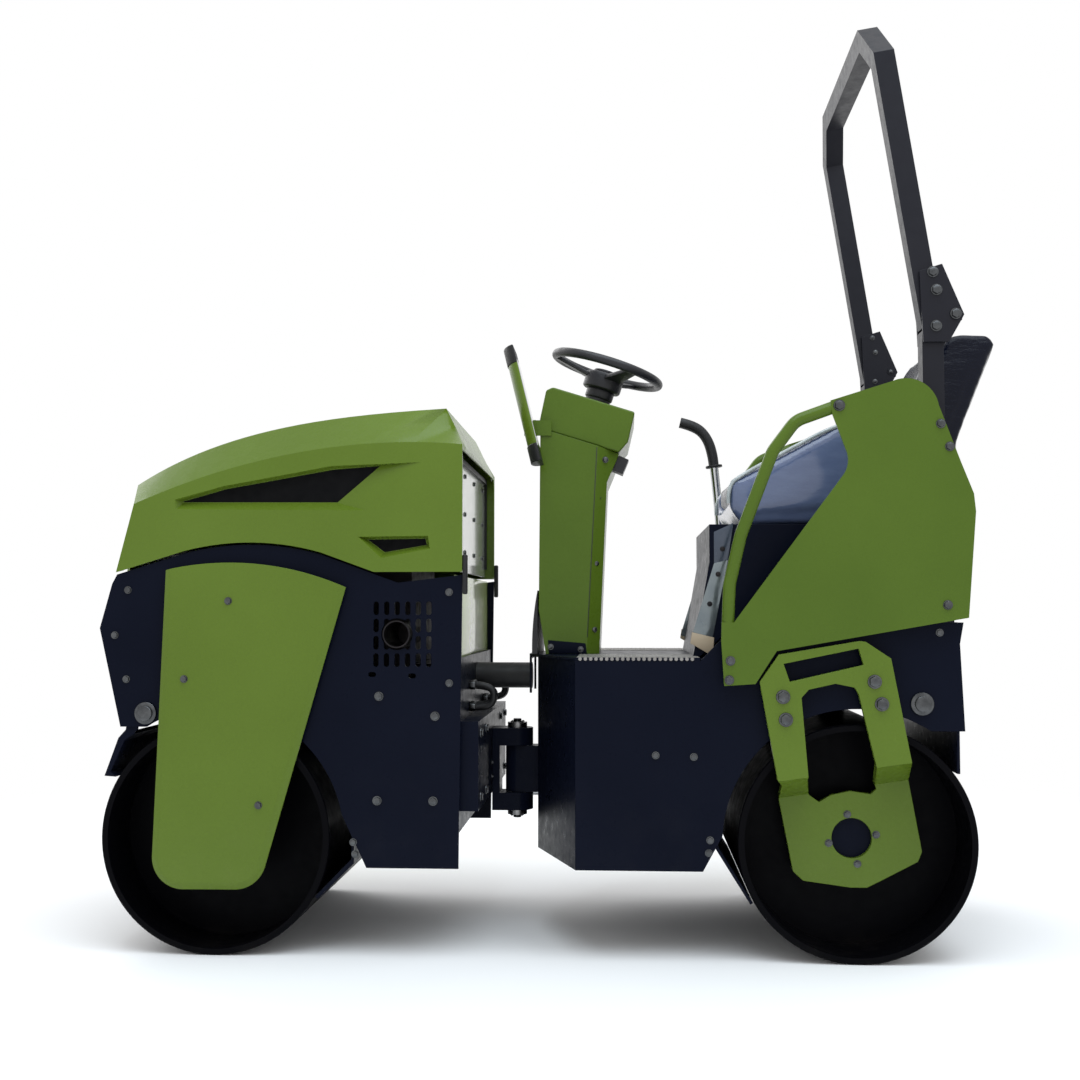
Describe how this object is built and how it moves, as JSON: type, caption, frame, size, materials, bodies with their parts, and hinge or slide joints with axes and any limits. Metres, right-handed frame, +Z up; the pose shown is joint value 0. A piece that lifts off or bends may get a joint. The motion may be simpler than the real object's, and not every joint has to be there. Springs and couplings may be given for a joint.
{
  "type": "ride-on articulated tandem road roller",
  "caption": "Small ride-on tandem road roller with centre hinge, open driver's seat, steering console, side guards and folding roll-over hoop.",
  "frame": {"origin": "on the ground under the middle of the machine's length and width", "axes": "+X forward, +Y to the driver's left, +Z up"},
  "size_m": [2.213, 0.88, 2.2796],
  "materials": {
    "green_paint": "gloss",
    "navy_paint": "gloss",
    "drum_paint": "semi-gloss",
    "bare_steel": "satin",
    "black_plastic": "satin",
    "seat_vinyl": "gloss",
    "hose_rubber": "satin",
    "exhaust_steel": "dark"
  },
  "bodies": {
    "rear_module": {"console": "green_paint", "drive_lever": "black_plastic", "floor_plate": "navy_paint", "floor_shroud": "black_plastic", "guard_left": "green_paint", "guard_right": "green_paint", "hinge_pin": "bare_steel", "mirror_bracket": "black_plastic", "mirror_head": "black_plastic", "rear_frame": "navy_paint", "rear_hubs": "bare_steel", "rear_scrapers": "navy_paint", "rear_tie_down": "navy_paint", "rear_yoke_left": "green_paint", "rear_yoke_right": "green_paint", "rops_posts": "navy_paint", "seat_backrest": "seat_vinyl", "seat_base": "navy_paint", "seat_cushion": "seat_vinyl", "seat_shell": "black_plastic", "steering_column": "green_paint", "switch_box": "black_plastic", "wheel_boot": "black_plastic"},
    "knuckle": {"knuckle": "navy_paint"},
    "front_module": {"front_frame": "navy_paint", "engine_block": "navy_paint", "exhaust_pipe": "exhaust_steel", "front_leg_left": "green_paint", "front_leg_right": "green_paint", "front_hubs": "bare_steel", "front_scrapers": "navy_paint", "front_tie_down": "navy_paint", "hose_sleeve": "hose_rubber"},
    "hood": {"hood": "green_paint", "hood_rear_panel": "green_paint", "hood_latches": "black_plastic", "vent_screens": "black_plastic"},
    "front_drum": {"front_drum": "drum_paint"},
    "rear_drum": {"rear_drum": "drum_paint"},
    "rops_hoop": {"rops_hoop": "navy_paint"},
    "steering_wheel": {"steering_wheel": "black_plastic"},
    "steering_barrel": {"steering_barrel": "bare_steel"},
    "steering_rod": {"steering_rod": "bare_steel"}
  },
  "joints": [
    {"name": "steer", "type": "hinge", "parent": "rear_module", "child": "knuckle", "pos_m": [0.115, 0, 0.408], "axis": [0, 0, 1], "range_deg": [-30, 30]},
    {"name": "oscillate", "type": "hinge", "parent": "knuckle", "child": "front_module", "pos_m": [0.225, 0, 0.408], "axis": [1, 0, 0], "range_deg": [-8, 8]},
    {"name": "hood_open", "type": "hinge", "parent": "front_module", "child": "hood", "pos_m": [1.08, 0, 0.915], "axis": [0, 1, 0], "range_deg": [0, 60]},
    {"name": "front_drum_spin", "type": "hinge", "parent": "front_module", "child": "front_drum", "pos_m": [0.817, 0, 0.28], "axis": [0, 1, 0], "continuous": true},
    {"name": "rear_drum_spin", "type": "hinge", "parent": "rear_module", "child": "rear_drum", "pos_m": [-0.717, 0, 0.28], "axis": [0, 1, 0], "continuous": true},
    {"name": "rops_fold", "type": "hinge", "parent": "rear_module", "child": "rops_hoop", "pos_m": [-0.955, 0, 1.528], "axis": [0, -1, 0], "range_deg": [0, 100]},
    {"name": "steering_wheel_turn", "type": "hinge", "parent": "rear_module", "child": "steering_wheel", "pos_m": [-0.128, 0, 1.478], "axis": [-0.3001, 0, 0.9539], "range_deg": [-540, 540]},
    {"name": "steer_cylinder_swing", "type": "hinge", "parent": "rear_module", "child": "steering_barrel", "pos_m": [-0.245, -0.1, 0.333], "axis": [0, 0, 1], "range_deg": [-6, 6]},
    {"name": "steer_cylinder_stroke", "type": "slide", "parent": "steering_barrel", "child": "steering_rod", "axis": [1, 0, 0], "range_m": [-0.075, 0.075]}
  ],
  "couplings": [
    {"joint": "steer_cylinder_stroke", "follows": "steer", "m_per_rad": 0.096},
    {"joint": "steer_cylinder_swing", "follows": "steer", "ratio": 0.0001}
  ]
}
